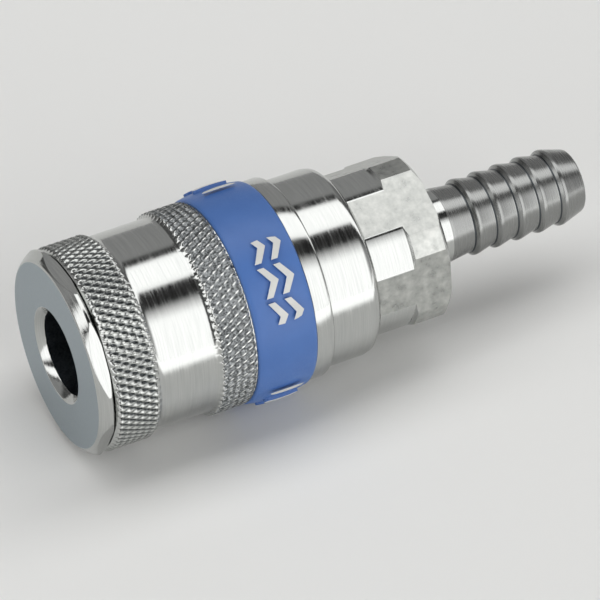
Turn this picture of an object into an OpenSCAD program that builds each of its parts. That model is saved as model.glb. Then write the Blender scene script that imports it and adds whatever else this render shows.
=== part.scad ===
// Air hose quick coupler: a ball-lock socket with a pull-back sleeve, a shut-off valve
// and a barbed hose tail. All sizes are in millimetres.
// +X runs along the axis from the mouth to the hose and +Z is up. The origin is on the
// axis, where the straight wall of the plug bore begins, just behind the front face.
// Every piece is drawn on the bench with the axis along z, measured from the front face.
// Angles about the axis start at +Y and turn towards +Z.

/* [Front body] */
// Across the flats of the hexagonal nose flange
nose_af = 26.6; // [25.6:0.1:27.6]
// Diameter of the flat ground ring on the front face
nose_face_d = 26; // [24:0.1:27]
// Length along the axis of the nose flange's front chamfer
nose_cham = 1.2; // [1:0.05:1.6]
// Length of the land on the nose flange's corners
nose_land_l = 0.4; // [0.3:0.05:1.5]
// Length along the axis of the nose flange's rear chamfer
nose_back_l = 0.55; // [0.3:0.05:0.7]
// Turn of the nose hexagon about the axis, in degrees
nose_turn = 26; // [0:1:60]
// Bore that takes the plug
plug_d = 11.46; // [11:0.02:12]
// 45 degree chamfer round the mouth
mouth_cham = 1; // [0.6:0.1:1.2]
// Length of the plug bore's guiding wall behind the chamfer
plug_land_l = 5.2; // [4:0.1:5.2]
// Radial relief of the plug bore behind its guiding wall
plug_relief = 0.2; // [0.2:0.05:0.3]
// Depth of the plug bore, from the front face to the valve seat wall
plug_depth = 17; // [16.4:0.1:18]
// Bore through the valve seat wall
seat_d = 9.2; // [8.9:0.1:9.6]
// Thickness of the valve seat wall
seat_t = 1.2; // [1:0.1:1.6]
// Bore of the chamber behind the valve seat
chamber_d = 13; // [12.6:0.1:13.4]

/* [Ball lock] */
// Number of locking balls
ball_n = 6; // [4:1:7]
// Diameter of a locking ball
ball_d = 3.2; // [3:0.1:3.4]
// How far a locked ball stands into the plug bore
ball_bite = 0.95; // [0.8:0.05:1]
// Distance from the front face to the ball centres
ball_x = 8; // [7.6:0.1:8.6]
// Radial lift of a ball for each millimetre that the sleeve is pulled
ball_lift = 0.3; // [0.25:0.01:0.3]
// Overlap of the locking land past the ball centres
lock_cover = 0.08; // [0.02:0.01:0.1]
// Axial width of the locking land inside the sleeve
land_w = 2.6; // [2:0.1:3]
// Slope of the ramp in front of the locking land, in degrees
ramp_angle = 30; // [25:1:40]

/* [Sleeve] */
// How far the sleeve is pulled back to let the plug go
sleeve_travel = 3.4; // [3.3:0.1:3.6]
// Diameter over the knurl points
knurl_d = 28.4; // [28.2:0.1:28.8]
// Depth of the knurl grooves
knurl_depth = 0.45; // [0.3:0.05:0.55]
// Number of knurl grooves round the sleeve in each direction
knurl_n = 78; // [60:1:84]
// Angle of the knurl grooves to the axis, in degrees
knurl_angle = 30; // [25:1:40]
// Width of the front knurl
front_knurl_w = 5.35; // [4.5:0.05:6]
// Width of the rear knurl
rear_knurl_w = 4.65; // [4:0.05:5.5]
// Diameter of the plain band between the knurls
plain_d = 27.08; // [26.8:0.02:27.3]
// Width of the plain band between the knurls
plain_w = 8.4; // [7:0.05:10]
// Wall of the sleeve under the coloured band
seat_wall = 0.59; // [0.5:0.01:0.8]
// Height of the lip behind the coloured band above the band's seat
lip_rise = 0.15; // [0.1:0.01:0.3]
// Width of the lip behind the coloured band
lip_w = 2.7; // [2:0.1:4]
// Room between the ball tube and the sleeve for the return spring
spring_room = 4.2; // [4:0.05:4.4]

/* [Coloured band] */
// Width of the coloured band
band_w = 8.7; // [8:0.1:10]
// Height of the band's edges above its seat
band_wall = 0.4; // [0.3:0.01:0.6]
// Height of the band's crown above its edges
band_rise = 0.425; // [0.2:0.025:0.6]
// Height of the raised motifs above the band
motif_h = 0.42; // [0.25:0.01:0.6]
// Angle about the axis of the first group of arrows, in degrees
motif_turn = 134.6; // [120:0.1:150]
// Width of one arrow, measured round the band
arrow_w = 4.1; // [3:0.1:4.6]
// Width of the stroke of an arrow
arrow_stroke = 0.95; // [0.6:0.05:1.2]
// Distance between neighbouring arrows round the band
arrow_pitch = 4.75; // [4.6:0.05:5]
// Length of a grip bar along the axis
bar_l = 5; // [4:0.1:6]
// Width of a grip bar
bar_w = 1.3; // [1:0.1:1.8]
// Distance between neighbouring grip bars
bar_pitch = 3.7; // [3:0.1:3.9]

/* [Rear body] */
// Step from the part that guides the sleeve's bore up to the plain ring behind it
ring_step = 1.08; // [0.9:0.01:1.2]
// Length of the ring that shows behind the sleeve
ring_show = 6.2; // [5:0.1:8]
// Radius of the ring's rear edge
ring_round = 1.5; // [1:0.1:1.6]
// How far the sleeve's lip covers the ring at rest
lip_cover = 1.2; // [0.8:0.1:1.6]
// Across the flats of the spanner hexagon
hex_af = 22; // [21:0.1:22.4]
// Diameter that the neck is turned to, in front of the hexagon's corners
neck_d = 22.7; // [22.5:0.1:23]
// Length of the turned neck
neck_l = 5.8; // [4:0.1:7]
// Diameter over the corners of the hexagon
hex_d = 23.7; // [23.4:0.1:24.2]
// Length of the hexagon behind the neck
hex_l = 5.4; // [4:0.1:9]
// Chamfer on the hexagon's rear corners
hex_cham = 0.6; // [0.3:0.1:1]
// Turn of the spanner hexagon about the axis, in degrees
hex_turn = 53; // [0:1:60]
// Depth from the sleeve spring's rear seat to the end of the thread
thread_l = 7; // [6:0.1:8]
// Bore of the air way behind the valve guide
airway_d = 8.8; // [8.4:0.1:9.4]
// Length of the tail shank inside the rear body
shank_l = 9.1; // [8:0.1:10]

/* [Shut-off valve] */
// How far the plug pushes the valve back
valve_travel = 4; // [3:0.1:4.2]
// Length of the valve's hollow nose in front of the washer
valve_nose_l = 4.7; // [4.2:0.1:5]
// Wall of the valve's hollow nose
valve_nose_wall = 1.2; // [0.9:0.1:1.4]
// Diameter of the valve's head
valve_head_d = 11.6; // [11.2:0.1:11.8]
// Thickness of the valve's head
valve_head_t = 2; // [1.5:0.1:2.4]
// Thickness of the rubber washer on the valve's head
valve_washer_t = 1.2; // [0.8:0.1:1.5]
// Diameter of the air ports through the valve's nose
valve_port_d = 2.4; // [2:0.1:2.6]
// Diameter of the valve's stem
stem_d = 3.8; // [3.2:0.1:4.2]
// Length of the stem that stands past the valve guide at rest
stem_past = 0.8; // [0.5:0.1:2]
// Thickness of the valve guide
guide_t = 2; // [1.6:0.1:2.6]
// Diameter of the air holes through the valve guide
guide_hole_d = 2.2; // [1.8:0.1:2.4]

/* [Springs] */
// Wire diameter of the sleeve's return spring
sleeve_wire_d = 1.5; // [1.2:0.1:1.6]
// Turns of the sleeve's return spring
sleeve_turns = 4.5; // [4:0.5:5]
// Wire diameter of the valve spring
valve_wire_d = 0.8; // [0.6:0.05:0.8]
// Turns of the valve spring
valve_turns = 6; // [5:0.5:6]

/* [Seals] */
// Section of the O-ring that seals on the plug
plug_seal_d = 1.56; // [1.4:0.02:1.6]
// How far the plug seal stands into the plug bore
seal_bite = 0.3; // [0.2:0.05:0.4]
// Distance from the front face to the plug seal
plug_seal_x = 11.2; // [11:0.1:11.2]
// Section of the O-ring between the two bodies
body_seal_d = 1.48; // [1.2:0.02:1.6]
// Section of the O-ring on the tail shank
tail_seal_d = 1.1; // [1:0.02:1.2]

/* [Hose tail] */
// Diameter of the shank and of the plain collar
collar_d = 10.4; // [10.2:0.1:10.4]
// Length of the plain collar behind the rear body
collar_l = 3.9; // [2:0.1:6]
// Diameter over the barbs
barb_d = 10.74; // [10.72:0.02:11.2]
// Diameter in the valleys between the barbs
valley_d = 9.55; // [9.2:0.05:9.8]
// Diameter at the hose end
tip_d = 8.8; // [8.4:0.1:9.2]
// Number of barbs
barb_n = 5; // [3:1:7]
// Distance from one barb to the next
barb_pitch = 3.3; // [3:0.05:4]
// Length of the waist between the collar and the first barb
waist_l = 3.85; // [2.5:0.05:5]
// Length behind the last barb
tip_l = 3.4; // [2.4:0.1:5]
// Bore through the tail
tail_bore_d = 6.4; // [5.8:0.1:6.6]

/* [Fits] */
// Radial running gap of the balls, the land and the valve stem
run_gap = 0.1; // [0.08:0.01:0.1]
// Radial gap between the sleeve and the rear body
slide_gap = 0.1; // [0.08:0.01:0.12]
// Radial gap round pieces that stay put, such as the thread and the seals
seat_gap = 0.02; // [0.01:0.01:0.05]
// Gap between the nose flange and the sleeve at rest
front_gap = 0.1; // [0.1:0.05:0.3]

/* [Hidden] */
round_fn = 96;
wire_sides = 8;
wire_steps = 24;
closed_pitch = 1.06;
past = 1;
edge = 0.3;

// Front body and ball lock
plug_r = plug_d / 2;
ball_r = ball_d / 2;
ball_ring_r = plug_r - ball_bite + ball_r;
tube_r = ball_ring_r + ball_r;
land_r = tube_r + run_gap;
release_room = 1.1;
release_r = tube_r + ball_lift * sleeve_travel + release_room;
land_front = ball_x - lock_cover;
land_rear = land_front + land_w;
ramp_front = land_front - (release_r - land_r) / tan(ramp_angle);
seat_rear = plug_depth + seat_t;
chamber_r = chamber_d / 2;
nose_t = nose_cham + nose_land_l + nose_back_l;
nose_slope = 0.7;
seat_mouth = 0.93;

// Sleeve, from front to rear
sleeve_front = nose_t + front_gap;
bevel_l = 0.5;
slope_l = 0.8;
rear_slope_l = 0.55;
knurl_r = knurl_d / 2;
knurl_foot = 0.08;
knurl_root_r = plain_d / 2 + knurl_foot;
front_knurl_x = sleeve_front + bevel_l;
plain_x = front_knurl_x + front_knurl_w + slope_l;
rear_knurl_x = plain_x + plain_w + rear_slope_l;
band_x = rear_knurl_x + rear_knurl_w + edge;
lip_x = band_x + band_w;
sleeve_rear = lip_x + lip_w;
sleeve_bore_r = tube_r + spring_room;
guide_r = sleeve_bore_r - slide_gap;
ring_r = guide_r + ring_step;
skirt_r = ring_r + slide_gap;
band_seat_r = skirt_r + seat_wall;
band_crown_r = band_seat_r + band_wall + band_rise;
arrow_tips = [0.35, 2.7];
arrow_slope = 0.7;
arrow_notch = 1.2;

// Rear body, from front to rear
ring_front = sleeve_rear - lip_cover;
skirt_x = ring_front - sleeve_travel - edge;
ring_rear = sleeve_rear + ring_show;
neck_x = ring_rear + ring_round;
hex_x = neck_x + neck_l;
body_rear = hex_x + hex_l;
guide_rear = ring_front;
tube_rear = guide_rear - guide_t;
body_front = tube_rear - thread_l;
socket_r = tube_r + seat_gap;
shank_x = body_rear - shank_l;
shank_r = collar_d / 2;

// Valve, from front to rear
seat_r = seat_d / 2;
nose_tube_r = seat_r - run_gap;
washer_front = seat_rear;
head_front = washer_front + valve_washer_t;
head_rear = head_front + valve_head_t;
nose_front = washer_front - valve_nose_l;
stem_r = stem_d / 2;
stem_rear = guide_rear + stem_past;
washer_r = valve_head_d / 2;
guide_holes = 6;

// Seals: each groove is as deep as its ring and a third wider
plug_groove_r = plug_r - seal_bite + plug_seal_d + seat_gap;
body_groove_r = tube_r + body_seal_d + 2 * seat_gap;
body_seal_back = 1.6;
body_seal_x = tube_rear - body_seal_back;
tail_groove_r = shank_r - tail_seal_d;
tail_seal_x = shank_x + shank_l / 2;
groove_room = 4 / 3;

// Hose tail
tail_x = body_rear;
waist_x = tail_x + collar_l;
barb_x = waist_x + waist_l;
tail_rear = barb_x + (barb_n - 1) * barb_pitch + tip_l;
barb_r = barb_d / 2;
valley_r = valley_d / 2;
barb_land = 0.4;
barb_rise = 0.5;

// Lays the bench drawing along +X, with the origin where the plug bore's wall begins
module along_x() {
    translate([-mouth_cham, 0, 0]) rotate([90, 0, 90]) children();
}

// A turned solid from [radius, station] points
module turned(points) {
    rotate_extrude($fn = round_fn) polygon(points);
}

// A hexagonal prism with flats centred at the given angle and every 60 degrees from it
module hexagon(af, turn, from, to) {
    translate([0, 0, from]) rotate(turn - 30) cylinder(r = af / 2 / cos(30), h = to - from, $fn = 6);
}

// An O-ring of section d, with its inside radius, at a station
module o_ring(inside_r, d, at) {
    translate([0, 0, at]) rotate_extrude($fn = round_fn)
        translate([inside_r + d / 2, 0]) circle(d = d, $fn = 32);
}

// Copies turned about the axis
module around(n) {
    for (i = [0:n - 1]) rotate(360 * i / n) children();
}

// The two-start diamond lattice of a knurl: grooves cross at the low points, and every
// pyramid between four crossings has one high point. A bevel closes each end.
module knurl(from, width, front_bevel, rear_bevel) {
    columns = 2 * knurl_n;
    half_pitch = PI * knurl_r / knurl_n / tan(knurl_angle);
    rows = max(2, round(width / half_pitch));
    function rim(station) = [
        for (i = [0:columns - 1])
            [knurl_root_r * cos(360 * i / columns), knurl_root_r * sin(360 * i / columns), station]
    ];
    lattice = [
        for (j = [0:rows], i = [0:columns - 1])
            let (r = (i + j) % 2 == 0 ? knurl_r : knurl_r - knurl_depth)
                [r * cos(360 * i / columns), r * sin(360 * i / columns), from + width * j / rows]
    ];
    points = concat(rim(from - front_bevel), lattice, rim(from + width + rear_bevel));
    last = rows + 2;
    function at(j, i) = j * columns + (i % columns);
    walls = [
        for (j = [0:last - 1], i = [0:columns - 1])
            let (flip = (i + j) % 2 == 0)
                each flip
                    ? [
                        [at(j, i), at(j + 1, i), at(j + 1, i + 1)],
                        [at(j, i), at(j + 1, i + 1), at(j, i + 1)]
                    ]
                    : [
                        [at(j, i), at(j + 1, i), at(j, i + 1)],
                        [at(j, i + 1), at(j + 1, i), at(j + 1, i + 1)]
                    ]
    ];
    caps = [
        [for (i = [0:columns - 1]) at(0, i)],
        [for (i = [0:columns - 1]) at(last, columns - 1 - i)]
    ];
    polyhedron(points = points, faces = concat(walls, caps), convexity = 4);
}

// A compression spring with one closed turn at each end
module coil_spring(mean_r, wire_d, from, to, turns) {
    steps = round(turns * wire_steps);
    closed = wire_d * closed_pitch;
    run = to - from - wire_d;
    pitch = (run - 2 * closed) / (turns - 2);
    function rise(t) =
        t < 1 ? t * closed
        : t > turns - 1 ? run - (turns - t) * closed
        : closed + (t - 1) * pitch;
    points = [
        for (s = [0:steps], k = [0:wire_sides - 1])
            let (
                t = turns * s / steps,
                r = mean_r + wire_d / 2 * cos(360 * k / wire_sides),
                z = from + wire_d / 2 + rise(t) + wire_d / 2 * sin(360 * k / wire_sides)
            )
                [r * cos(360 * t), r * sin(360 * t), z]
    ];
    function at(s, k) = s * wire_sides + k % wire_sides;
    walls = [
        for (s = [0:steps - 1], k = [0:wire_sides - 1])
            each [
                [at(s, k), at(s + 1, k), at(s + 1, k + 1)],
                [at(s, k), at(s + 1, k + 1), at(s, k + 1)]
            ]
    ];
    caps = [
        [for (k = [0:wire_sides - 1]) at(0, k)],
        [for (k = [0:wire_sides - 1]) at(steps, wire_sides - 1 - k)]
    ];
    polyhedron(points = points, faces = concat(walls, caps), convexity = 6);
}

// Seat of one ball: straight outside, and narrowed at the bore so that the ball stays in
module ball_seat() {
    hole_r = ball_r + run_gap / 2;
    taper = ball_r / 4;
    straight_from = ball_ring_r - taper / 4;
    mouth_at = plug_r - taper / 2;
    translate([0, 0, ball_x]) rotate([0, 90, 0]) {
        translate([0, 0, straight_from])
            cylinder(r = hole_r, h = tube_r + past - straight_from, $fn = 32);
        translate([0, 0, mouth_at])
            cylinder(r1 = ball_r * seat_mouth, r2 = hole_r, h = straight_from - mouth_at, $fn = 32);
    }
}

module front_body() {
    face_r = nose_face_d / 2;
    back_r = knurl_r - nose_back_l / nose_slope;
    relief_r = plug_r + plug_relief;
    groove_half = plug_seal_d * groove_room / 2;
    color([0.72, 0.74, 0.75]) along_x() difference() {
        union() {
            intersection() {
                turned([
                    [0, 0], [face_r, 0], [knurl_r, nose_cham],
                    [knurl_r, nose_cham + nose_land_l], [back_r, nose_t], [0, nose_t]
                ]);
                hexagon(nose_af, nose_turn, -past, nose_t + past);
            }
            turned([
                [0, nose_t / 2], [tube_r, nose_t / 2], [tube_r, tube_rear - edge],
                [tube_r - edge, tube_rear], [0, tube_rear]
            ]);
        }
        turned([
            [0, -past], [plug_r + mouth_cham + past, -past], [plug_r, mouth_cham],
            [plug_r, mouth_cham + plug_land_l], [relief_r, mouth_cham + plug_land_l],
            [relief_r, plug_seal_x - groove_half], [plug_groove_r, plug_seal_x - groove_half],
            [plug_groove_r, plug_seal_x + groove_half], [relief_r, plug_seal_x + groove_half],
            [relief_r, plug_depth], [seat_r, plug_depth], [seat_r, seat_rear],
            [chamber_r, seat_rear], [chamber_r, tube_rear + past], [0, tube_rear + past]
        ]);
        around(ball_n) ball_seat();
    }
}

module sleeve() {
    plain_r = plain_d / 2;
    lip_r = band_seat_r + lip_rise;
    color([0.75, 0.77, 0.78]) along_x() difference() {
        union() {
            turned([
                [0, sleeve_front], [plain_r, sleeve_front], [plain_r, rear_knurl_x + rear_knurl_w],
                [band_seat_r, rear_knurl_x + rear_knurl_w], [band_seat_r, lip_x],
                [lip_r - edge / 2, lip_x], [lip_r, lip_x + edge / 2],
                [lip_r, sleeve_rear - 2 * edge], [lip_r - edge / 2, sleeve_rear - edge / 2],
                [lip_r - edge, sleeve_rear], [0, sleeve_rear]
            ]);
            knurl(front_knurl_x, front_knurl_w, bevel_l - edge / 3, slope_l);
            knurl(rear_knurl_x, rear_knurl_w, rear_slope_l, edge);
        }
        turned([
            [0, sleeve_front - past], [release_r, sleeve_front - past], [release_r, ramp_front],
            [land_r, land_front], [land_r, land_rear], [sleeve_bore_r, land_rear],
            [sleeve_bore_r, skirt_x], [skirt_r, skirt_x],
            [skirt_r, sleeve_rear + past], [0, sleeve_rear + past]
        ]);
    }
}

// Half section of the band between two stations, up to its crown raised by a height
module band_section(from, to, raise) {
    half_w = band_w / 2;
    arc_r = (half_w * half_w + band_rise * band_rise) / 2 / band_rise;
    bore_r = band_seat_r + seat_gap;
    intersection() {
        translate([bore_r, from]) square([band_crown_r + raise - bore_r + past, to - from]);
        translate([band_crown_r - arc_r, band_x + half_w]) circle(r = arc_r + raise, $fn = 4 * round_fn);
    }
}

// An arrow head that points along the axis towards the hose
module arrow(tip) {
    half = arrow_w / 2;
    wing = tip - half * arrow_slope;
    polygon([
        [0, tip], [half, wing], [half, wing - arrow_stroke],
        [0, tip - arrow_stroke * arrow_notch], [-half, wing - arrow_stroke], [-half, wing]
    ]);
}

module arrow_group() {
    for (side = [-1:1], tip = arrow_tips) translate([side * arrow_pitch, 0]) arrow(tip);
}

module bar_group() {
    for (side = [-1.5:1.5]) translate([side * bar_pitch, 0]) {
        square([bar_w, bar_l - bar_w], center = true);
        for (tip = [-1, 1]) translate([0, tip * (bar_l - bar_w) / 2]) circle(d = bar_w, $fn = 24);
    }
}

// Raises a flat pattern on the band, centred at an angle about the axis
module raised(turn) {
    reach = band_crown_r + motif_h + past;
    intersection() {
        rotate_extrude($fn = round_fn) band_section(band_x + past, band_x + band_w - past, motif_h);
        rotate(turn) translate([0, 0, band_x + band_w / 2]) rotate([90, 0, 90])
            translate([0, 0, reach / 2]) linear_extrude(reach) children();
    }
}

module band() {
    color([0.29, 0.45, 0.71]) along_x() union() {
        rotate_extrude($fn = round_fn) band_section(band_x, lip_x, 0);
        for (turn = [0, 180]) {
            raised(motif_turn + turn) arrow_group();
            raised(motif_turn + 90 + turn) bar_group();
        }
    }
}

module sleeve_spring() {
    mean_r = (tube_r + sleeve_bore_r) / 2;
    color([0.6, 0.62, 0.64]) along_x()
        coil_spring(mean_r, sleeve_wire_d, land_rear + seat_gap, body_front - seat_gap, sleeve_turns);
}

module ball(i) {
    color([0.85, 0.86, 0.87]) along_x()
        rotate(360 * (i - 1) / ball_n) translate([ball_ring_r, 0, ball_x]) sphere(d = ball_d, $fn = 48);
}

module plug_seal() {
    color([0.08, 0.08, 0.09]) along_x() o_ring(plug_r - seal_bite, plug_seal_d, plug_seal_x);
}

module valve_poppet() {
    hollow_r = nose_tube_r - valve_nose_wall;
    port_x = washer_front - valve_port_d / 2 - seat_gap;
    color([0.79, 0.65, 0.36]) along_x() difference() {
        turned([
            [hollow_r, nose_front], [nose_tube_r - edge, nose_front], [nose_tube_r, nose_front + edge],
            [nose_tube_r, head_front], [washer_r, head_front], [washer_r, head_rear - edge],
            [washer_r - edge, head_rear], [stem_r, head_rear], [stem_r, stem_rear - edge],
            [stem_r - edge, stem_rear], [0, stem_rear], [0, head_front], [hollow_r, head_front]
        ]);
        for (turn = [0, 90]) translate([0, 0, port_x]) rotate([0, 90, turn])
            cylinder(d = valve_port_d, h = 2 * seat_d, center = true, $fn = 32);
    }
}

module valve_washer() {
    color([0.1, 0.1, 0.11]) along_x() turned([
        [nose_tube_r + seat_gap, washer_front], [washer_r, washer_front],
        [washer_r, head_front], [nose_tube_r + seat_gap, head_front]
    ]);
}

module valve_spring() {
    mean_r = (stem_r + chamber_r) / 2;
    color([0.6, 0.62, 0.64]) along_x()
        coil_spring(mean_r, valve_wire_d, head_rear + seat_gap, tube_rear - seat_gap, valve_turns);
}

module valve_guide() {
    hole_ring_r = (stem_r + airway_d / 2) / 2 + edge;
    color([0.79, 0.65, 0.36]) along_x() difference() {
        turned([
            [stem_r + run_gap / 2, tube_rear], [tube_r - edge, tube_rear],
            [tube_r - edge, guide_rear], [stem_r + run_gap / 2, guide_rear]
        ]);
        around(guide_holes) translate([hole_ring_r, 0, tube_rear - past])
            cylinder(d = guide_hole_d, h = guide_t + 2 * past, $fn = 32);
    }
}

module body_seal() {
    color([0.08, 0.08, 0.09]) along_x() o_ring(tube_r + seat_gap, body_seal_d, body_seal_x);
}

module rear_body() {
    neck_r = neck_d / 2;
    hex_r = hex_d / 2;
    groove_half = body_seal_d * groove_room / 2;
    color([0.76, 0.78, 0.79]) along_x() difference() {
        union() {
            turned(concat(
                [[0, body_front], [guide_r - 2 * edge, body_front], [guide_r, body_front + 2 * edge]],
                [[guide_r, ring_front], [ring_r, ring_front]],
                [
                    for (a = [0:15:90])
                        [ring_r - ring_round * (1 - cos(a)), ring_rear + ring_round * sin(a)]
                ],
                [[0, neck_x]]
            ));
            intersection() {
                turned([
                    [0, ring_rear], [neck_r, ring_rear], [neck_r, hex_x],
                    [hex_r, hex_x + (hex_r - neck_r)],
                    [hex_r, body_rear - hex_cham], [hex_r - hex_cham, body_rear], [0, body_rear]
                ]);
                hexagon(hex_af, hex_turn, ring_rear - past, body_rear + past);
            }
        }
        turned([
            [0, body_front - past], [socket_r + past, body_front - past], [socket_r, body_front],
            [socket_r, body_seal_x - groove_half], [body_groove_r, body_seal_x - groove_half],
            [body_groove_r, body_seal_x + groove_half], [socket_r, body_seal_x + groove_half],
            [socket_r, guide_rear], [airway_d / 2, guide_rear], [airway_d / 2, shank_x],
            [shank_r + seat_gap, shank_x], [shank_r + seat_gap, body_rear + past], [0, body_rear + past]
        ]);
    }
}

module hose_tail() {
    groove_half = tail_seal_d * groove_room / 2;
    bore_r = tail_bore_d / 2;
    tip_r = tip_d / 2;
    color([0.62, 0.63, 0.64]) along_x() turned(concat(
        [[bore_r, shank_x], [shank_r - edge, shank_x], [shank_r, shank_x + edge]],
        [[shank_r, tail_seal_x - groove_half], [tail_groove_r, tail_seal_x - groove_half]],
        [[tail_groove_r, tail_seal_x + groove_half], [shank_r, tail_seal_x + groove_half]],
        [[shank_r, waist_x], [valley_r, barb_x - barb_land / 2 - barb_rise]],
        [for (i = [0:barb_n - 1]) let (x = barb_x + i * barb_pitch) each [
            [barb_r, x - barb_land / 2], [barb_r, x + barb_land / 2],
            if (i < barb_n - 1) [valley_r, x + barb_pitch - barb_land / 2 - barb_rise]
        ]],
        [for (a = [0:30:90]) [tip_r - edge * (1 - cos(a)), tail_rear - edge * (1 - sin(a))]],
        [[bore_r + edge, tail_rear], [bore_r, tail_rear - edge]]
    ));
}

module tail_seal() {
    color([0.08, 0.08, 0.09]) along_x() o_ring(tail_groove_r + seat_gap / 2, tail_seal_d, tail_seal_x);
}

front_body();
sleeve();
band();
sleeve_spring();
for (i = [1:ball_n]) ball(i);
plug_seal();
valve_poppet();
valve_washer();
valve_spring();
valve_guide();
body_seal();
rear_body();
hose_tail();
tail_seal();
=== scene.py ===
# %% [markdown]
# # Air hose quick coupler, dressed for its photograph
#
# The object is a ball-lock socket for compressed air: a plated steel body with a hexagonal
# nose, a knurled sleeve that is pulled back to let the plug go, a blue plastic band on the
# sleeve, a rear body with a spanner hexagon, and a barbed tail that an air hose is pushed on.
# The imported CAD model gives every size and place. This script gives the visible pieces fine
# edges, a cut knurl and real finishes, and keeps the inner pieces of the CAD model.

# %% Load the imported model
import math

import bmesh
import bpy
from mathutils import Matrix, Vector


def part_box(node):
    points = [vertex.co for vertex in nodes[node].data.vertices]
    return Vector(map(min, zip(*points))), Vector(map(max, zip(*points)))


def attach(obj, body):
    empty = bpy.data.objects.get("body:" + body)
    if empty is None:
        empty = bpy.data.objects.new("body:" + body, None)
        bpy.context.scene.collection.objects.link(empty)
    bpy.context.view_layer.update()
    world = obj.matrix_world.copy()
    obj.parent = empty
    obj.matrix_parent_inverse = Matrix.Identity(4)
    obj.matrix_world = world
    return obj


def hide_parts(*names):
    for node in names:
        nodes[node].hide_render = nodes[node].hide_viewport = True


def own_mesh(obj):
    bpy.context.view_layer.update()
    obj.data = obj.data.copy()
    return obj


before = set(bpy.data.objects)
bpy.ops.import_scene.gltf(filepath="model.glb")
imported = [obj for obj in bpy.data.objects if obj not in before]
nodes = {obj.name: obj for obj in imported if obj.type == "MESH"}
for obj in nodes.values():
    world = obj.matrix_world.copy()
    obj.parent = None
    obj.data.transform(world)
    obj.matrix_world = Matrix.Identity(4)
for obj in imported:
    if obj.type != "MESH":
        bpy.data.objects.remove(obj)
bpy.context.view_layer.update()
print("CAD nodes:", len(nodes))

# %% [markdown]
# ## Sizes
# Everything below is written in millimetres, as on a drawing. A station is a distance along
# the axis, from the point where the straight wall of the plug bore begins, as in the CAD
# model. Ends are read from the boxes of the CAD nodes, so that each dressed piece fills the
# same room. The steps between them are the drawing's own sizes. Angles about the axis start
# at +Y and turn towards +Z.

# %% Sizes read from the frame
MM = 0.001


def box_mm(node):
    low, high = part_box(node)
    return low / MM, high / MM


NOSE_FRONT, TUBE_REAR = box_mm("front_body")[0].x, box_mm("front_body")[1].x
SLEEVE_FRONT, SLEEVE_REAR = box_mm("sleeve")[0].x, box_mm("sleeve")[1].x
BAND_FRONT, BAND_REAR = box_mm("band")[0].x, box_mm("band")[1].x
BODY_FRONT, BODY_REAR = box_mm("rear_body")[0].x, box_mm("rear_body")[1].x
SHANK_FRONT, TAIL_REAR = box_mm("hose_tail")[0].x, box_mm("hose_tail")[1].x
print("sleeve from", round(SLEEVE_FRONT, 2), "to", round(SLEEVE_REAR, 2))

# %% Sizes that several pieces share
KNURL_R = 14.2
TUBE_R = 7.98
BORE_R = 5.73
RING_R = 13.16
SHANK_R = 5.2
BALLS = 6
BALL_STATION = 7.0
# Of the steel, only the outside of the sleeve and of the nose flange lies beyond this radius.
SKIN_R = 13.3


# %% Helpers: places, meshes and objects
def radius_of(point):
    return math.hypot(point.y, point.z)


def place_of(polygon):
    """Station and radius of a face's centre on the finished mesh, in millimetres."""
    centre = polygon.center / MM
    return centre.x, radius_of(centre)


def mesh_of(bm, name):
    """Turns a bench drawing into a mesh and clears the bench."""
    mesh = bpy.data.meshes.new(name)
    bm.to_mesh(mesh)
    bm.free()
    return mesh


def object_of(data):
    """Puts a mesh, or a camera, in the scene as an object of its name."""
    made = bpy.data.objects.new(data.name, data)
    bpy.context.scene.collection.objects.link(made)
    return made


# %% [markdown]
# ## Turning on a lathe
# Most of this object was turned from bar, so most pieces start as one closed outline spun
# about the axis. The corners of the outline are rounded before the spin, because a rounded
# corner of the outline becomes a rounded edge all the way round. That is cheaper and more
# even than bevelling the finished piece.

# %% Helper: spin an outline
def outline(bm, points):
    """Draws a closed outline of (station, radius, rounding) and rounds its corners."""
    corners = [bm.verts.new((x, 0, r)) for x, r, _ in points]
    bm.faces.new(corners)
    by_rounding = {}
    for corner, (_, _, rounding) in zip(corners, points):
        if rounding:
            by_rounding.setdefault(rounding, []).append(corner)
    for rounding, group in by_rounding.items():
        bmesh.ops.bevel(
            bm, geom=group, offset=rounding, offset_type="OFFSET", segments=3,
            profile=0.5, affect="VERTICES", material=-1,
        )
    bmesh.ops.delete(bm, geom=bm.faces[:], context="FACES_ONLY")


def turned(points, steps=192):
    bm = bmesh.new()
    outline(bm, points)
    bmesh.ops.spin(
        bm, geom=bm.verts[:] + bm.edges[:], cent=(0, 0, 0), axis=(1, 0, 0),
        angle=math.tau, steps=steps, use_merge=True,
    )
    bmesh.ops.remove_doubles(bm, verts=bm.verts[:], dist=1e-4)
    bmesh.ops.recalc_face_normals(bm, faces=bm.faces[:])
    return bm


# %% Helpers: mill flats and take the edges off
SORTED_BY = Vector((1, 31.7, 997.3))


def cut_flats(bm, across, turn):
    """Mills six flats, the first one facing the angle given."""
    for k in range(6):
        angle = math.radians(turn + 60 * k)
        outward = Vector((0, math.cos(angle), math.sin(angle)))
        cut = bmesh.ops.bisect_plane(
            bm, geom=bm.verts[:] + bm.edges[:] + bm.faces[:], dist=1e-5,
            plane_co=outward * across / 2, plane_no=outward, clear_outer=True,
        )
        rim = [e for e in cut["geom_cut"] if isinstance(e, bmesh.types.BMEdge)]
        bmesh.ops.edgeloop_fill(bm, edges=rim)
    # The cuts leave the corners in any order. A fixed one makes every run merge the same.
    bm.verts.sort(key=lambda vert: vert.co.dot(SORTED_BY))
    bmesh.ops.remove_doubles(bm, verts=bm.verts[:], dist=0.05)
    bmesh.ops.recalc_face_normals(bm, faces=bm.faces[:])


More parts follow.
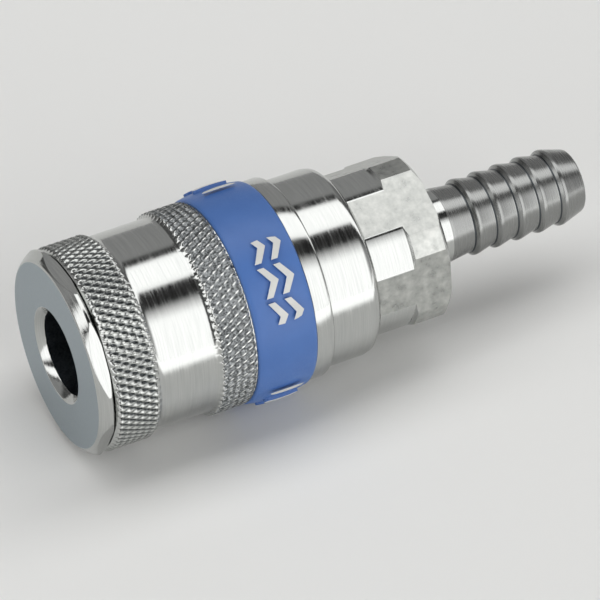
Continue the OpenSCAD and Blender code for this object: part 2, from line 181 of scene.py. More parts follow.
def soften(bm, width, angle, beyond_r=0.0, beyond_x=-100.0):
    """Bevels the outer edges that are sharper than the angle, as tumbling does."""
    sharp = [
        e for e in bm.edges
        if len(e.link_faces) == 2 and e.calc_face_angle(0) > math.radians(angle)
        and min(v.co.x for v in e.verts) > beyond_x
        and min(radius_of(v.co) for v in e.verts) > beyond_r
    ]
    bmesh.ops.bevel(
        bm, geom=sharp, offset=width, offset_type="OFFSET", segments=2,
        profile=0.5, affect="EDGES", clamp_overlap=True, material=-1,
    )
    print("softened", len(sharp), "edges")


# %% Helper: join, cut or intersect two bench meshes
def carve(base, tool, operation):
    """A live Boolean modifier would be exported too, so its result becomes the bench mesh."""
    work, cutter = [object_of(mesh_of(bm, "bench")) for bm in (base, tool)]
    boolean = work.modifiers.new("Carve", "BOOLEAN")
    boolean.operation, boolean.object, boolean.solver = operation, cutter, "EXACT"
    bpy.context.view_layer.update()
    result = bmesh.new()
    result.from_object(work, bpy.context.evaluated_depsgraph_get())
    for bench in (work, cutter):
        bpy.data.meshes.remove(bench.data)
    return result


# %% Helper: hand a mesh over as a piece
def piece(name, bm, body, stands_for, flat_zones=()):
    """Turns a bench drawing in millimetres into a finished piece in metres."""
    bmesh.ops.transform(bm, matrix=Matrix.Scale(MM, 4), verts=bm.verts[:])
    made = object_of(mesh_of(bm, name))
    for polygon in made.data.polygons:
        x, r = place_of(polygon)
        faceted = r > SKIN_R and any(start < x < end for start, end in flat_zones)
        polygon.use_smooth = not faceted
    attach(made, body)
    if stands_for:
        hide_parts(stands_for)
    weighted = made.modifiers.new("Even shading", "WEIGHTED_NORMAL")
    weighted.weight = 90
    print(name, "has", sum(len(p.vertices) - 2 for p in made.data.polygons), "triangles")
    return made


# %% [markdown]
# ## Front body
# The nose flange is a short piece of hexagonal bar whose corners were turned down and
# chamfered on both sides, so each flat is a lens between two cones. Its face has a flat
# ground ring, and a bright chamfer goes round the mouth. Behind it the body is a tube with a
# seat wall for the valve, a groove for the seal and six seats for the balls. It could stay
# the CAD node, but its edges would be knife sharp, and the light on a real edge comes from
# its small round. So the outline is spun again with rounded corners.

# %% Front body
FACE_R, FLANGE_W, FLANGE_REAR_R = 13.0, 2.15, 13.41
FLANGE_AF, FLANGE_TURN = 26.6, 26
INNER_R, VALVE_ROOM_R, VALVE_SEAT_R = 5.93, 6.5, 4.6
SEAT_WALL = (16, 17.2)
SEAL_GROOVE, SEAL_GROOVE_R = (9.16, 11.24), 7.01
PLUG_BORE_END = 5.2


def front_body():
    flange_rear = NOSE_FRONT + FLANGE_W
    wall_front, wall_rear = SEAT_WALL
    groove_front, groove_rear = SEAL_GROOVE
    bm = turned([
        (NOSE_FRONT, BORE_R + 1, 0.12), (NOSE_FRONT, FACE_R, 0.25),
        (NOSE_FRONT + 1.2, KNURL_R, 0.1), (NOSE_FRONT + 1.6, KNURL_R, 0.1),
        (flange_rear, FLANGE_REAR_R, 0.1), (flange_rear, TUBE_R, 0), (TUBE_REAR, TUBE_R, 0.25),
        (TUBE_REAR, VALVE_ROOM_R, 0), (wall_rear, VALVE_ROOM_R, 0),
        (wall_rear, VALVE_SEAT_R, 0.1), (wall_front, VALVE_SEAT_R, 0.1),
        (wall_front, INNER_R, 0), (groove_rear, INNER_R, 0), (groove_rear, SEAL_GROOVE_R, 0),
        (groove_front, SEAL_GROOVE_R, 0), (groove_front, INNER_R, 0),
        (PLUG_BORE_END, INNER_R, 0), (PLUG_BORE_END, BORE_R, 0.05), (0, BORE_R, 0.08),
    ])
    cut_flats(bm, FLANGE_AF, FLANGE_TURN)
    soften(bm, 0.1, 24, beyond_r=FACE_R - 0.1)
    return bm


# %% [markdown]
# Each ball sits in a drilled seat that narrows at the bore, so that it stands into the bore
# but can't fall through. A shop drills each with one stepped drill from outside. Here the
# drill is a cone whose wide end is pulled out straight. The old end is deleted, or it would
# be left as a disc across each seat. The drill is spun with copies to make six, and one
# Boolean cuts them all away.

# %% Ball seats
SEAT_NARROW_R, SEAT_R = 1.49, 1.65
SEAT_FOOT, SEAT_STEP, SEAT_OUT = 5.53, 6.28, 9.0


def ball_drill():
    bm = bmesh.new()
    cone_middle = Vector((BALL_STATION, 0, (SEAT_FOOT + SEAT_STEP) / 2))
    bmesh.ops.create_cone(
        bm, cap_ends=True, segments=32, radius1=SEAT_NARROW_R, radius2=SEAT_R,
        depth=SEAT_STEP - SEAT_FOOT, matrix=Matrix.Translation(cone_middle),
    )
    wide_end = max(bm.faces, key=lambda face: face.calc_center_median().z)
    grown = bmesh.ops.extrude_face_region(bm, geom=[wide_end])
    moved = [v for v in grown["geom"] if isinstance(v, bmesh.types.BMVert)]
    bmesh.ops.translate(bm, vec=(0, 0, SEAT_OUT - SEAT_STEP), verts=moved)
    bmesh.ops.delete(bm, geom=[wide_end], context="FACES_ONLY")
    bmesh.ops.recalc_face_normals(bm, faces=bm.faces[:])
    bmesh.ops.rotate(
        bm, cent=(0, 0, 0), verts=bm.verts[:], matrix=Matrix.Rotation(-math.pi / 2, 3, "X"),
    )
    bmesh.ops.spin(
        bm, geom=bm.verts[:] + bm.edges[:] + bm.faces[:], cent=(0, 0, 0), axis=(1, 0, 0),
        angle=math.tau * (BALLS - 1) / BALLS, steps=BALLS - 1, use_duplicate=True,
    )
    return bm


drilled = carve(front_body(), ball_drill(), "DIFFERENCE")
nose = piece("flanged_front_body", drilled, "body", "front_body")

# %% [markdown]
# ## Knurled sleeve
# The sleeve is the piece that the hand pulls back. Two wheels roll a diamond knurl in each
# end of it: two families of V grooves, at 30 degrees to the axis, which leave pyramids. The
# knurl could be a bump texture, but its points break the outline of the sleeve and throw
# real shadows, so it is cut in the mesh. The sleeve is spun with eight steps to a groove,
# and each outer point in a knurl moves in by the depth of the deeper groove. The rows of
# points fall on the creases of the knurl, and faces are split along them, so each pyramid
# keeps sharp sides. One wheel bites deeper than the other. At the front it leaves rows of
# pits, because the other wheel presses its grooves half shut where it crosses them, and
# painted shade in the knurl's finish makes the pits dark. The rear knurl was rolled more
# lightly, with the other wheel in the lead, and the crests of its leading family stay nearly
# whole. A painted highlight in the knurl's finish makes them thin bright lines. Where the
# grooves run out over the bevels they leave the scalloped edge of a real knurl.

# %% Knurl
GROOVES = 78
PERIOD = 2 * math.pi * KNURL_R / GROOVES / math.tan(math.radians(30))
SAMPLES = 8
CREST = 0.07


def rows(start, end, step):
    count = max(1, round((end - start) / step))
    return [start + (end - start) * k / count for k in range(count + 1)]


def crease_rows(start, end):
    """Stations inside a knurl that its creases pass through at a vertex."""
    step = PERIOD / SAMPLES
    first, last = math.ceil(start / step + 0.2), math.floor(end / step - 0.2)
    return [step * k for k in range(first, last + 1)]


def groove_depth(angle, station, hand, depth):
    """Depth of one family of V grooves at a point, below a narrow flat crest."""
    turn = GROOVES * angle / math.tau + hand * station / PERIOD
    return depth * max(0, abs(2 * (turn % 1) - 1) - CREST) / (1 - CREST)


def cut_knurl(bm, start, end, lead, deep, shallow, fin=1.0, neck=0.0):
    """Lead is the hand of the deeper family, and fin is how far the other cuts its crests.

    Neck is the share of the deep grooves that the other wheel presses shut where it crosses.
    """
    on_crease = {1: [], -1: []}
    for vert in bm.verts:
        radius = radius_of(vert.co)
        if radius < SKIN_R or not start < vert.co.x < end:
            continue
        angle = math.atan2(vert.co.z, vert.co.y)
        for hand, group in on_crease.items():
            quarter_turns = 2 * (GROOVES * angle / math.tau + hand * vert.co.x / PERIOD)
            if abs(quarter_turns - round(quarter_turns)) < 0.01:
                group.append(vert)
        own = groove_depth(angle, vert.co.x, lead, deep)
        other = groove_depth(angle, vert.co.x, -lead, shallow)
        share = fin if own < 0.02 else 1
        cut = max(own * (1 - neck * other / shallow), share * other)
        target = min(radius, KNURL_R - cut)
        vert.co.y *= target / radius
        vert.co.z *= target / radius
    for group in on_crease.values():
        bmesh.ops.connect_verts(bm, verts=group)


# %% Sleeve
PLAIN_R, LIP_R = 13.54, 14.0
SEAT_BAND_R = 13.85
FRONT_KNURL, FRONT_KNURL_END = (1.75, 7.1), 7.9
REAR_KNURL, REAR_KNURL_START, REAR_KNURL_END = (16.85, 21.5), 16.3, 21.74
MOUTH_R, LAND_R, LAND = 10.1, 8.08, (6.92, 9.52)
MOUTH_END = 3.42
SPRING_ROOM_R, SPRING_ROOM_END = 12.18, 27.5


def knurl_rows(start, foot_front, crest, foot_rear, end):
    """Stations and radii over one knurl, with the bevel at each end."""
    crest_from, crest_to = crest
    rise = (KNURL_R - foot_front) / (crest_from - start)
    fall = (KNURL_R - foot_rear) / (end - crest_to)
    stations = [start] + crease_rows(start, end) + [end]
    return [
        (x, min(KNURL_R, foot_front + rise * (x - start), foot_rear + fall * (end - x)), 0)
        for x in stations
    ]


def sleeve():
    front = knurl_rows(SLEEVE_FRONT + 0.1, 13.62, FRONT_KNURL, PLAIN_R, FRONT_KNURL_END)
    rear = knurl_rows(REAR_KNURL_START, PLAIN_R, REAR_KNURL, 13.8, REAR_KNURL_END)
    lip = BAND_REAR + 0.02
    ring_bore_r = RING_R + 0.1
    land_front, land_rear = LAND
    outside = (
        [(SLEEVE_FRONT, MOUTH_R, 0.15), (SLEEVE_FRONT, 13.5, 0.1)] + front
        + [(FRONT_KNURL_END + 0.5, PLAIN_R, 0), (REAR_KNURL_START - 0.5, PLAIN_R, 0)] + rear
        + [(REAR_KNURL_END + 0.02, SEAT_BAND_R, 0), (lip, SEAT_BAND_R, 0), (lip, LIP_R, 0.08),
           (SLEEVE_REAR, LIP_R, 0.4)]
    )
    inside = [
        (SLEEVE_REAR, ring_bore_r, 0.1), (SPRING_ROOM_END, ring_bore_r, 0),
        (SPRING_ROOM_END, SPRING_ROOM_R, 0), (land_rear, SPRING_ROOM_R, 0),
        (land_rear, LAND_R, 0.1), (land_front, LAND_R, 0.1), (MOUTH_END, MOUTH_R, 0),
    ]
    return turned(outside + inside, steps=GROOVES * SAMPLES)


shell = sleeve()
cut_knurl(
    shell, SLEEVE_FRONT + 0.05, FRONT_KNURL_END + 0.05, lead=-1, deep=0.48, shallow=0.26, neck=0.4,
)
cut_knurl(
    shell, REAR_KNURL_START - 0.05, REAR_KNURL_END + 0.01, lead=1, deep=0.38, shallow=0.3, fin=0.2,
)
sleeve_piece = piece(
    "knurled_sleeve", shell, "sleeve", "sleeve",
    flat_zones=[
        (SLEEVE_FRONT + 0.1, FRONT_KNURL_END), (REAR_KNURL_START, REAR_KNURL_END + 0.01),
    ],
)

# %% [markdown]
# ## Blue band and its raised motifs
# The band is a moulded plastic ring that snaps on the sleeve and tells the flow or the make
# at a glance. Here it carries a generic design: groups of arrows that point to the hose, and
# groups of grip bars, raised and printed silver. The ring is spun. The motifs are prisms cut
# to a raised copy of the ring with a Boolean, so their tops follow its crown.

# %% Band
BAND_EDGE_R, BAND_CROWN_R = 14.25, 14.675
BAND_EDGE_ROUND = 0.22
BAND_MIDDLE, BAND_HALF = (BAND_FRONT + BAND_REAR) / 2, (BAND_REAR - BAND_FRONT) / 2
MOTIF_H = 0.42


def crown(start, end, step, raise_by=0.0):
    """Points along the band's shallow arch."""
    rise = BAND_CROWN_R - BAND_EDGE_R
    return [
        (x, BAND_CROWN_R + raise_by - rise * ((x - BAND_MIDDLE) / BAND_HALF) ** 2, 0)
        for x in rows(start, end, step)
    ]


def band():
    bore_r, edge_r = SEAT_BAND_R + 0.02, BAND_EDGE_R - 0.1
    return turned(
        [(BAND_FRONT, bore_r, 0), (BAND_FRONT, edge_r, BAND_EDGE_ROUND)]
        + crown(BAND_FRONT + 0.3, BAND_REAR - 0.3, 0.45)
        + [(BAND_REAR, edge_r, BAND_EDGE_ROUND), (BAND_REAR, bore_r, 0)],
    )


blue_ring = piece("coloured_band", band(), "sleeve", "band")


# %% Motifs: flat shapes laid out round the band
def prism(bm, corners, turn):
    """Stands a flat shape of (round, along) points on the band at an angle."""
    foot = SEAT_BAND_R + 0.1
    flat = [bm.verts.new((BAND_MIDDLE + along, across, foot)) for across, along in corners]
    base = bm.faces.new(flat)
    grown = bmesh.ops.extrude_face_region(bm, geom=[base])
    top = [v for v in grown["geom"] if isinstance(v, bmesh.types.BMVert)]
    bmesh.ops.translate(bm, vec=(0, 0, 3), verts=top)
    bmesh.ops.rotate(
        bm, cent=(0, 0, 0), verts=flat + top,
        matrix=Matrix.Rotation(math.radians(turn - 90), 3, "X"),
    )


ARROW_HALF, ARROW_STROKE, ARROW_PITCH = 2.05, 0.95, 4.75
BAR_HALF_W, BAR_HALF_L, BAR_PITCH = 0.65, 1.85, 3.7


def arrow(side, tip):
    wing = tip - ARROW_HALF * 0.7
    shape = [
        (0, tip), (ARROW_HALF, wing), (ARROW_HALF, wing - ARROW_STROKE),
        (0, tip - ARROW_STROKE * 1.2), (-ARROW_HALF, wing - ARROW_STROKE), (-ARROW_HALF, wing),
    ]
    return [(side * ARROW_PITCH + across, along) for across, along in shape]


def bar(side):
    ends = [(math.cos(math.radians(a)), math.sin(math.radians(a))) for a in range(15, 360, 30)]
    return [
        (side * BAR_PITCH + BAR_HALF_W * c, math.copysign(BAR_HALF_L, s) + BAR_HALF_W * s)
        for c, s in ends
    ]


def motif_prisms():
    bm = bmesh.new()
    for turn in (134.6, 314.6):
        for side in (-1, 0, 1):
            for tip in (0.35, 2.7):
                prism(bm, arrow(side, tip), turn)
    for turn in (44.6, 224.6):
        for side in (-1.5, -0.5, 0.5, 1.5):
            prism(bm, bar(side), turn)
    bmesh.ops.recalc_face_normals(bm, faces=bm.faces[:])
    return bm


# %% Motifs cut to the raised crown
def raised_shell():
    start, end = BAND_FRONT + 0.4, BAND_REAR - 0.4
    foot = SEAT_BAND_R + 0.2
    top = crown(start, end, 0.8, MOTIF_H)
    return turned([(start, foot, 0)] + top + [(end, foot, 0)], steps=144)


motifs = carve(motif_prisms(), raised_shell(), "INTERSECT")
soften(motifs, 0.09, 40)
motif_piece = piece("band_motifs", motifs, "sleeve", None)

# %% [markdown]
# ## Rear body
# Behind the sleeve a plain turned ring shows, with a well rounded rear edge. Then comes the
# spanner hexagon: its front part was turned down to a neck, just enough to take the corners
# off, and its rear corners have a chamfer. Both could be one solid made with a union, but
# two closed shells that meet inside the ring give the same look with clean edges to bevel.

# %% Rear body
RING_FRONT, RING_REAR = 32.0, 39.4
NECK_FRONT, HEX_FRONT = 40.9, 46.7
NECK_R, HEX_R, HEX_AF, HEX_TURN = 11.35, 11.85, 22.0, 53.0
SPIGOT_R, THREAD_R, AIRWAY_R = 12.08, 8.0, 4.4
RING_ROUND, HEX_CHAMFER = 1.45, 0.6


def ring_shell():
    return turned([
        (BODY_FRONT, THREAD_R, 0), (BODY_FRONT, SPIGOT_R, 0.5), (RING_FRONT, SPIGOT_R, 0),
        (RING_FRONT, RING_R, 0), (NECK_FRONT, RING_R, RING_ROUND), (NECK_FRONT, AIRWAY_R, 0),
        (RING_FRONT, AIRWAY_R, 0), (RING_FRONT, THREAD_R, 0),
    ])


def hex_shell():
    seat_r = SHANK_R + 0.02
    bm = turned([
        (RING_REAR, AIRWAY_R, 0), (RING_REAR, NECK_R, 0.1), (HEX_FRONT, NECK_R, 0),
        (HEX_FRONT + 0.3, HEX_R, 0), (BODY_REAR - HEX_CHAMFER, HEX_R, 0),
        (BODY_REAR, HEX_R - HEX_CHAMFER, 0), (BODY_REAR, seat_r, 0.2), (SHANK_FRONT, seat_r, 0),
        (SHANK_FRONT, AIRWAY_R, 0),
    ])
    cut_flats(bm, HEX_AF, HEX_TURN)
    soften(bm, 0.12, 12, beyond_r=10.5, beyond_x=RING_REAR + 0.1)
    return bm


def merged(first, second):
    """Puts two bench meshes in one."""
    mesh = mesh_of(second, "bench")
    first.from_mesh(mesh)
    bpy.data.meshes.remove(mesh)
    return first


rear_shells = merged(ring_shell(), hex_shell())
rear = piece("spanner_body", rear_shells, "body", "rear_body")

# %% [markdown]
# ## Hose tail
# The tail is a separate turned piece, pressed in the rear body: a plain collar, a waist and
# five barbs. Each barb rises steeply on the side of the body and falls gently towards the
# hose end, so the hose slides on and grips when it is pulled.

# %% Hose tail
WAIST = 55.99
BARB_FIRST, BARB_PITCH, BARBS, BARB_R, VALLEY_R = 59.85, 3.3, 5, 5.37, 4.775
BARB_RISE, HALF_LAND = 0.5, 0.2
TAIL_BORE_R, TAIL_END_R, TAIL_CHAMFER = 3.2, 4.4, 0.3


def hose_tail():
    points = [
        (SHANK_FRONT, TAIL_BORE_R, 0), (SHANK_FRONT, SHANK_R, 0.25), (WAIST, SHANK_R, 0.3),
    ]
    for k in range(BARBS):
        x = BARB_FIRST + k * BARB_PITCH
        points += [
            (x - HALF_LAND - BARB_RISE, VALLEY_R, 0.2), (x - HALF_LAND, BARB_R, 0.08),
            (x + HALF_LAND, BARB_R, 0.08),
        ]
    points += [
        (TAIL_REAR, TAIL_END_R, 0.3), (TAIL_REAR, TAIL_BORE_R + TAIL_CHAMFER, 0.05),
        (TAIL_REAR - TAIL_CHAMFER, TAIL_BORE_R, 0),
    ]
    return turned(points, steps=160)


tail = piece("barbed_tail", hose_tail(), "body", "hose_tail")

# %% [markdown]
# ## Finishes
# Each finish is a small node tree. A colour is written as the hex value that the eye sees,
# and one function turns it to the linear numbers that a shader works with. Patterns read
# Object coordinates, in metres, so a Mapping node's scale is one over a real size.

# %% Helpers for finishes
def linear(hex_colour):
    channels = [int(hex_colour[i:i + 2], 16) / 255 for i in (1, 3, 5)]
    return (*[c / 12.92 if c <= 0.04045 else ((c + 0.055) / 1.055) ** 2.4 for c in channels], 1)


def per_mm(x, y, z):
    """Scale of a pattern whose size along each axis is given in millimetres."""
    return (1 / (x * MM), 1 / (y * MM), 1 / (z * MM))


def add(tree, kind, settings=None, values=None, links=None):
    """Adds a node, sets its properties and sockets, and links the outputs that it reads."""
    made = tree.nodes.new(kind)
    for name, value in (settings or {}).items():
        setattr(made, name, value)
    for name, value in (values or {}).items():
        made.inputs[name].default_value = value
    for name, source in (links or {}).items():
        tree.links.new(source, made.inputs[name])
    return made


def new_finish(name):
    """An empty finish with its tree, its shader and the place on the object."""
    finish = bpy.data.materials.new(name)
    finish.use_nodes = True
    tree = finish.node_tree
    shader = tree.nodes["Principled BSDF"]
    return finish, tree, shader, add(tree, "ShaderNodeTexCoord").outputs["Object"]


def plug_in(tree, shader, colour, gloss, relief):
    """Links the colour, the roughness and the relief of a finish to its shader."""
    tree.links.new(colour.outputs[2], shader.inputs["Base Color"])
    tree.links.new(gloss.outputs["Result"], shader.inputs["Roughness"])
    tree.links.new(relief.outputs["Normal"], shader.inputs["Normal"])


# %% [markdown]
# **Zinc-plated turned steel.** The body and the sleeve were turned, polished and plated with
# bright zinc. To the eye it is a clean grey mirror with soft edges: fine lathe lines run
# round it under the plate, so the light bands along it have ragged ends. Real feed lines are
# about 0.06 mm apart, which is finer than a pixel, so they are drawn at 0.15 mm.

# %% Smooth plate
def smooth_plate():
    finish, tree, shader, place = new_finish("Zinc-plated turned steel")
    lines_at = add(tree, "ShaderNodeMapping", values={"Scale": per_mm(0.15, 5, 5)},
                   links={"Vector": place})
    lines = add(tree, "ShaderNodeTexNoise", values={"Scale": 1.0, "Detail": 4.0, "Roughness": 0.65},
                links={"Vector": lines_at.outputs["Vector"]})
    colour = add(tree, "ShaderNodeMix", {"data_type": "RGBA"},
                 {6: linear("#A4A6A5"), 7: linear("#CCCDCA")}, {0: lines.outputs["Fac"]})
    gloss = add(tree, "ShaderNodeMapRange",
                values={"From Min": 0.35, "From Max": 0.7, "To Min": 0.07, "To Max": 0.22},
                links={"Value": lines.outputs["Fac"]})
    relief = add(tree, "ShaderNodeBump", values={"Strength": 1.0, "Distance": 0.009 * MM},
                 links={"Height": lines.outputs["Fac"]})
    shader.inputs["Metallic"].default_value = 1.0
    plug_in(tree, shader, colour, gloss, relief)
    return finish


plate = smooth_plate()
print("made", plate.name)


# %% [markdown]
# ** Knurled steel.** The same plate, with painted shade at the bottom of the grooves and a lighter
# colour at the crests, which on the rear knurl is a painted highlight. So the colour follows the
# distance from the axis, from the foot of a groove to its crest. The painted shade is speckled,
# with grains of a quarter to a third of a millimetre. The shallow rear knurl shows only its very
# tips bright, with that painted highlight.

# %% Knurled plate
def knurl_plate(name, groove_shade, flank, crest, shade_below_r, crest_colour_from_r, gloss_range, grain_mm, depth_mm):
    """Groove shade and flank are the speckled colours of the painted shade below shade_below_r, and
    crest is that of the tips, which on the rear knurl is a painted highlight.
    """
    finish, tree, shader, place = new_finish(name)
    apart = add(tree, "ShaderNodeSeparateXYZ", links={"Vector": place})
    flat = add(tree, "ShaderNodeCombineXYZ",
               links={"Y": apart.outputs["Y"], "Z": apart.outputs["Z"]})
    radius = add(tree, "ShaderNodeVectorMath", {"operation": "LENGTH"},
                 links={0: flat.outputs["Vector"]})
    # Painted shade and highlight: darker towards the foot of each groove, lighter at the crests.
    crest_share = add(tree, "ShaderNodeMapRange",
                values={"From Min": shade_below_r * MM, "From Max": crest_colour_from_r * MM},
                links={"Value": radius.outputs["Value"]})
    grain_at = add(tree, "ShaderNodeMapping",
                   values={"Scale": per_mm(grain_mm, grain_mm, grain_mm)},
                   links={"Vector": place})
    grain = add(tree, "ShaderNodeTexNoise", values={"Scale": 1.0, "Detail": 3.0, "Roughness": 0.6},
                links={"Vector": grain_at.outputs["Vector"]})
    specks = add(tree, "ShaderNodeMapRange", values={"From Min": 0.4, "From Max": 0.62},
                 links={"Value": grain.outputs["Fac"]})
    ground = add(tree, "ShaderNodeMix", {"data_type": "RGBA"},
                 {6: linear(groove_shade), 7: linear(flank)}, {0: specks.outputs["Result"]})
    colour = add(tree, "ShaderNodeMix", {"data_type": "RGBA"}, {7: linear(crest)},
                 {0: crest_share.outputs["Result"], 6: ground.outputs[2]})
    gloss = add(tree, "ShaderNodeMapRange",
                values={"From Min": 0.3, "From Max": 0.7,
                        "To Min": gloss_range[0], "To Max": gloss_range[1]},
                links={"Value": grain.outputs["Fac"]})
    relief = add(tree, "ShaderNodeBump", values={"Strength": 1.0, "Distance": depth_mm * MM},
                 links={"Height": grain.outputs["Fac"]})
    shader.inputs["Metallic"].default_value = 1.0
    plug_in(tree, shader, colour, gloss, relief)
    return finish


# Front knurl: dark painted shade in the grooves.
front_knurl_with_shade = knurl_plate(
    "Zinc-plated knurled steel, painted groove shade", groove_shade="#222527", flank="#4A4E50", crest="#C2C4C1",
    shade_below_r=13.87, crest_colour_from_r=14.07, gloss_range=(0.16, 0.3), grain_mm=0.25, depth_mm=0.04,
)
# Rear knurl: lighter painted shade in the grooves and a painted highlight on the tips.
rear_knurl_with_shade_and_highlight = knurl_plate(
    "Zinc-plated knurled steel", groove_shade="#5A5D5E", flank="#A6A9AA", crest="#ECEDEA",
    shade_below_r=14.12, crest_colour_from_r=14.16, gloss_range=(0.24, 0.4), grain_mm=0.35, depth_mm=0.12,
)
print("made", front_knurl_with_shade.name, "and", rear_knurl_with_shade_and_highlight.name)


# %% [markdown]
# ** Other metals.** They differ in colour, in how dull they are, and in their grain: a ground
# face is even and satin, milled flats are mottled where the plate took the cutter's marks,
# a turned tail has lines round it, and balls are polished. The steep side of each barb is
# rougher, and its dark colour is painted shade, which draws dark lines round the tail. The
# bore is dark with painted shade too. One function makes them all from those few values.
# Stretch draws the grain out round the axis, as a lathe does.

# %% Other metals
def metal(name, light, dark, gloss_range, grain_mm, depth_mm, stretch=1.0):
    finish, tree, shader, place = new_finish(name)
    grain_at = add(tree, "ShaderNodeMapping",
                   values={"Scale": per_mm(grain_mm, grain_mm * stretch, grain_mm * stretch)},
                   links={"Vector": place})
    grain = add(tree, "ShaderNodeTexNoise", values={"Scale": 1.0, "Detail": 4.0, "Roughness": 0.6},
                links={"Vector": grain_at.outputs["Vector"]})
    even = add(tree, "ShaderNodeMapRange", values={"From Min": 0.3, "From Max": 0.7},
               links={"Value": grain.outputs["Fac"]})
    colour = add(tree, "ShaderNodeMix", {"data_type": "RGBA"}, {6: linear(dark), 7: linear(light)},
                 {0: even.outputs["Result"]})
    gloss = add(tree, "ShaderNodeMapRange",
                values={"To Min": gloss_range[0], "To Max": gloss_range[1]},
                links={"Value": even.outputs["Result"]})
    relief = add(tree, "ShaderNodeBump", values={"Strength": 1.0, "Distance": depth_mm * MM},
                 links={"Height": grain.outputs["Fac"]})
    shader.inputs["Metallic"].default_value = 1.0
    plug_in(tree, shader, colour, gloss, relief)
    return finish


ground_face = metal("Ground and passivated face", "#A6AFB4", "#98A2A8", (0.36, 0.48), 0.5, 0.004)
milled_flat = metal("Zinc-plated milled flats", "#C2C3BF", "#9A9C99", (0.26, 0.34), 1.4, 0.006)
# Painted shade: a dark colour for the inside of the bore.
shaded_bore = metal("Bore with painted shade", "#565C62", "#3A4046", (0.3, 0.5), 0.3, 0.004)
tail_steel = metal("Turned bright steel", "#949593", "#8A8B8A", (0.22, 0.3), 0.12, 0.004, 40)
# Painted shade: a dark colour for the steep side of each barb, near the valleys.
painted_barb_shade = metal(
    "Steel with painted shade in the tail's valleys", "#54585A", "#43474A", (0.34, 0.46), 0.2, 0.004, 20,
)
spring_wire = metal("Drawn spring wire", "#A2A5A8", "#7C8083", (0.25, 0.4), 0.3, 0.004, 3)
ball_steel = metal("Polished bearing steel", "#CDCFD0", "#C3C6C8", (0.05, 0.1), 0.8, 0.001)
brass = metal("Turned brass", "#C8A868", "#A98A4C", (0.22, 0.34), 0.2, 0.006, 12)


# %% [markdown]
# **Plastic, print and rubber.** The band is injection-moulded nylon, coloured through and
# slightly satin. Its motifs are stamped with silver foil. The seals are nitrile rubber. All
# are even in colour with faint clouds, and a fine grain keeps their gloss from looking flat.

# %% Plastic, print and rubber
def moulded(name, light, dark, gloss_range, grain_mm, depth_mm):
    finish, tree, shader, place = new_finish(name)
    clouds_at = add(tree, "ShaderNodeMapping", values={"Scale": per_mm(2.5, 2.5, 2.5)},
                    links={"Vector": place})
    clouds = add(tree, "ShaderNodeTexNoise", values={"Scale": 1.0, "Detail": 2.0},
                 links={"Vector": clouds_at.outputs["Vector"]})
    grain_at = add(tree, "ShaderNodeMapping",
                   values={"Scale": per_mm(grain_mm, grain_mm, grain_mm)},
                   links={"Vector": place})
    grain = add(tree, "ShaderNodeTexNoise", values={"Scale": 1.0, "Detail": 2.0},
                links={"Vector": grain_at.outputs["Vector"]})
    colour = add(tree, "ShaderNodeMix", {"data_type": "RGBA"}, {6: linear(dark), 7: linear(light)},
                 {0: clouds.outputs["Fac"]})
    gloss = add(tree, "ShaderNodeMapRange",
                values={"From Min": 0.3, "From Max": 0.7,
                        "To Min": gloss_range[0], "To Max": gloss_range[1]},
                links={"Value": grain.outputs["Fac"]})
    relief = add(tree, "ShaderNodeBump", values={"Strength": 1.0, "Distance": depth_mm * MM},
                 links={"Height": grain.outputs["Fac"]})
    shader.inputs["IOR"].default_value = 1.5
    plug_in(tree, shader, colour, gloss, relief)
    return finish


blue_plastic = moulded("Moulded blue nylon", "#456DAD", "#3F65A4", (0.36, 0.5), 0.3, 0.006)
silver_print = moulded("Silver hot-foil print", "#D3D3CF", "#BDBEBB", (0.34, 0.5), 0.2, 0.006)
rubber = moulded("Nitrile rubber", "#1B1B1D", "#141416", (0.5, 0.65), 0.15, 0.004)


# %% [markdown]
# ## Which face gets which finish
# A piece may have several finishes. Faces are told apart by where they are and which way
# they look, and each gets the number of its finish.

# %% Finishes on faces
BORE_SHADE_FROM, BORE_SHADE_R = 0.02, 7.4
COLLAR_REAR, BARB_SHADE_R = 54.3, VALLEY_R + 0.32


def dress(made, finishes, choose=lambda polygon: 0):
    """Gives a piece its finishes, and each face the one that the function chooses."""
    made.data.materials.clear()
    for finish in finishes:
        made.data.materials.append(finish)
    for polygon in made.data.polygons:
        polygon.material_index = choose(polygon)


def on_front_body(polygon):
    """The face was ground, and the bore behind its bright chamfer gets a dark colour, which is
    painted shade.
    """
    x, r = place_of(polygon)
    if polygon.normal.x < -0.95 and x < NOSE_FRONT + 0.05:
        return 1
    return 2 if x > BORE_SHADE_FROM and r < BORE_SHADE_R else 0


def in_knurl(polygon):
    """The front knurl has dark painted shade, the rear one lighter painted shade and a painted
    highlight, and the rest is plain.
    """
    x, r = place_of(polygon)
    if r < SKIN_R:
        return 0
    if FRONT_KNURL[0] < x < FRONT_KNURL[1] + 0.1:
        return 1
    return 2 if REAR_KNURL[0] < x < REAR_KNURL[1] else 0


def on_flat(polygon):
    """The hexagon's flats, which look along six directions, and the corners between them."""
    x, r = place_of(polygon)
    if x < NECK_FRONT - 1 or abs(polygon.normal.x) > 0.01 or r < 10:
        return 0
    angle = math.degrees(math.atan2(polygon.normal.z, polygon.normal.y))
    off = abs((angle - HEX_TURN + 30) % 60 - 30)
    return 1 if off < 0.2 or x > HEX_FRONT else 0


def on_tail(polygon):
    """The collar kept its bright plate, and the steep side of each barb gets painted shade."""
    x, r = place_of(polygon)
    if x < COLLAR_REAR:
        return 1
    return 2 if x > WAIST and polygon.normal.x < -0.1 and r < BARB_SHADE_R else 0


def on_top(polygon):
    """The tops of the motifs, which look straight away from the axis."""
    out = Vector((0, polygon.center.y, polygon.center.z)).normalized()
    return 1 if polygon.normal.dot(out) > 0.9 else 0


